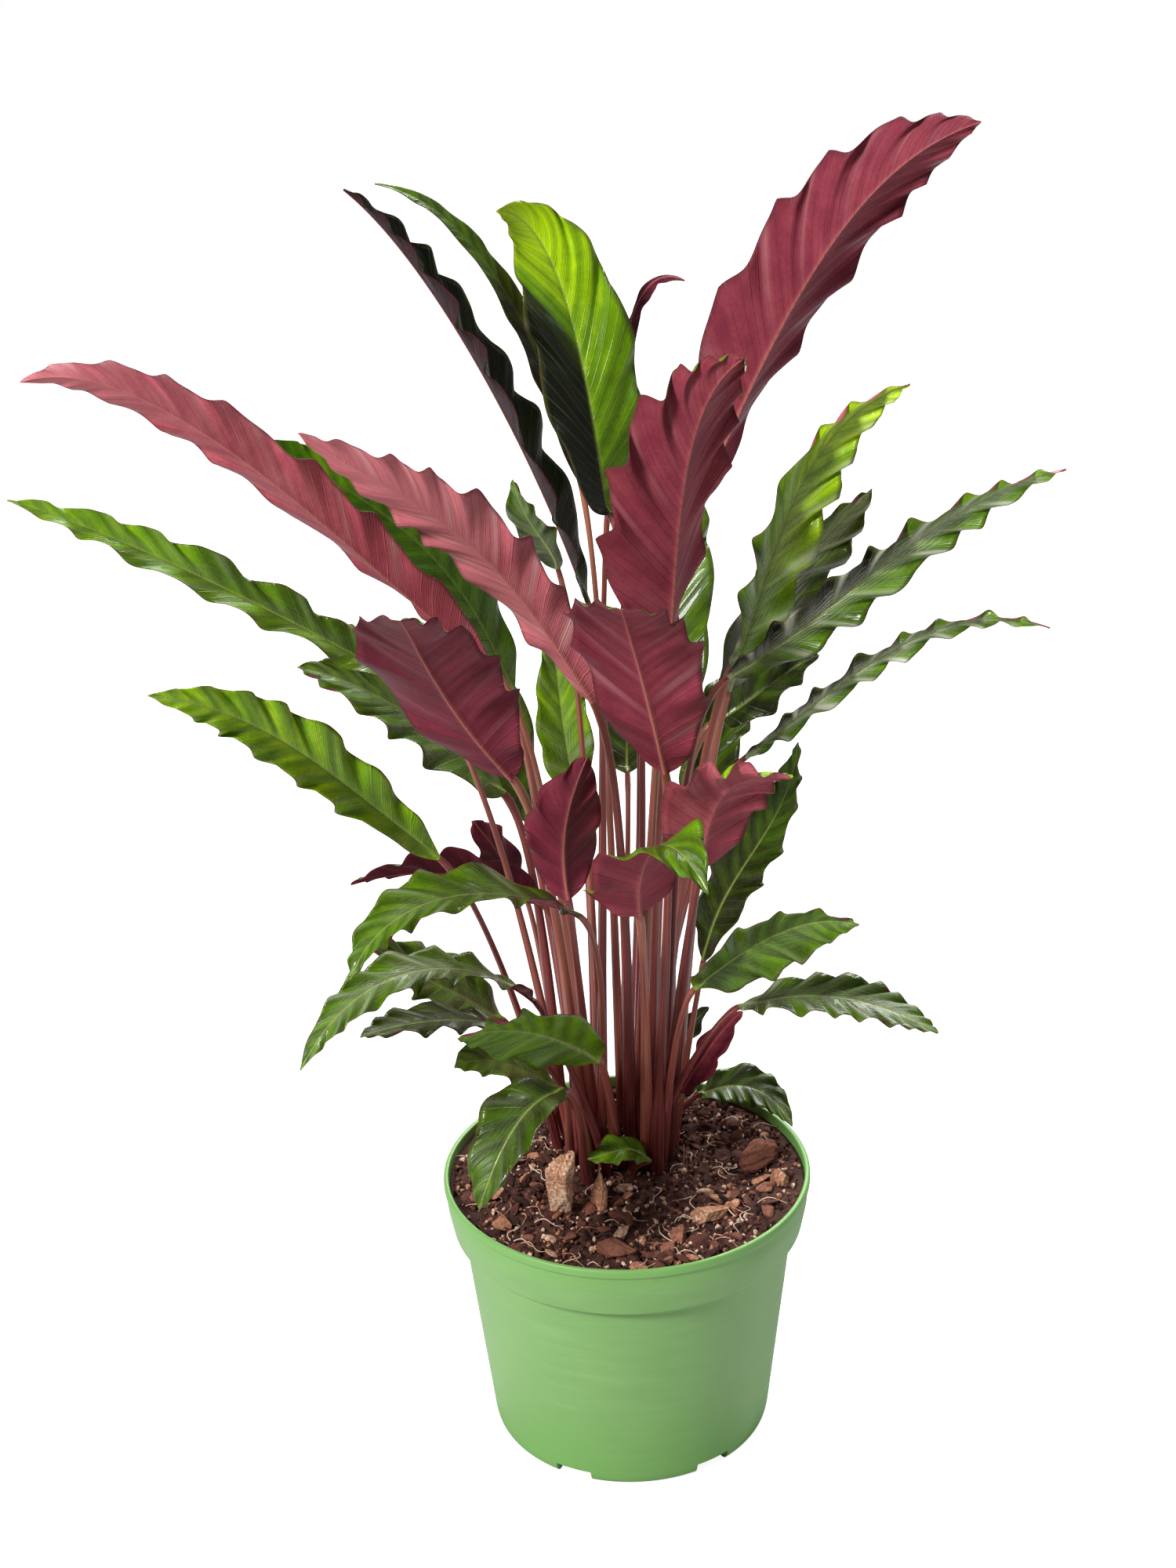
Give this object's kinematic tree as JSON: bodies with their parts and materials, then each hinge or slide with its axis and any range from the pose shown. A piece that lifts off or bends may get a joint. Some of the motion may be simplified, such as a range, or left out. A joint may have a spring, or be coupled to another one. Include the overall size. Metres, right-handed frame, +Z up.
{
  "type": "potted foliage plant",
  "caption": "Prayer plant with long wavy leaves, wine red below and green above, on red stalks in a flared nursery pot of potting mix.",
  "frame": {"origin": "middle of the pot's flat underside, on the surface that the pot stands on", "axes": "+Z up along the pot's axis; the plant is seen from -Y, with +X to the right"},
  "size_m": [0.4187, 0.3411, 0.6216],
  "materials": {
    "pot_plastic": "satin moulded plastic, light yellowish green",
    "potting_mix": "crumbly, with bark chips",
    "leaf_wine": "velvety wine-red underside with a pale midrib",
    "leaf_green": "satin green upper face with pale side veins"
  },
  "bodies": {
    "root": {"pot": "pot_plastic", "soil": "potting_mix", "leaf_tall_right": "leaf_wine", "leaf_tall_centre": "leaf_wine", "leaf_bright_top": "leaf_green", "leaf_narrow_top": "leaf_green", "leaf_dark_folded_top": "leaf_wine", "leaf_small_twisted_top": "leaf_wine", "leaf_long_far_left": "leaf_wine", "leaf_rose_left": "leaf_wine", "leaf_green_under_rose": "leaf_green", "leaf_green_far_left": "leaf_green", "leaf_green_mid_left": "leaf_green", "leaf_oval_left": "leaf_wine", "leaf_oval_centre": "leaf_wine", "leaf_small_oval_centre": "leaf_wine", "leaf_small_arched_centre": "leaf_wine", "leaf_oval_right": "leaf_wine", "leaf_dark_right": "leaf_green", "leaf_bright_low_right": "leaf_green", "leaf_wavy_low_right": "leaf_green", "leaf_small_folded_right": "leaf_wine", "leaf_over_back_rim": "leaf_green", "leaf_striped_upright_right": "leaf_green", "leaf_striped_behind_right": "leaf_green", "leaf_striped_long_right": "leaf_green", "leaf_dark_lobed_right": "leaf_green", "leaf_slender_right": "leaf_green", "leaf_bright_behind_centre": "leaf_green", "leaf_small_twisted_back": "leaf_green", "leaf_grey_green_left": "leaf_green", "leaf_small_dark_left": "leaf_wine", "leaf_arching_left": "leaf_green", "leaf_drooping_left": "leaf_green", "leaf_short_left": "leaf_green", "leaf_slim_low_left": "leaf_green", "leaf_bright_low_left": "leaf_green", "leaf_dark_low_left": "leaf_green", "leaf_over_front_rim": "leaf_green", "leaf_tiny_at_soil": "leaf_green", "leaf_tiny_back_right": "leaf_green", "leaf_burgundy_low_left": "leaf_wine", "leaf_back_tall": "leaf_green", "leaf_back_left": "leaf_green", "leaf_back_right": "leaf_green", "leaf_back_low": "leaf_green"}
  },
  "joints": []
}
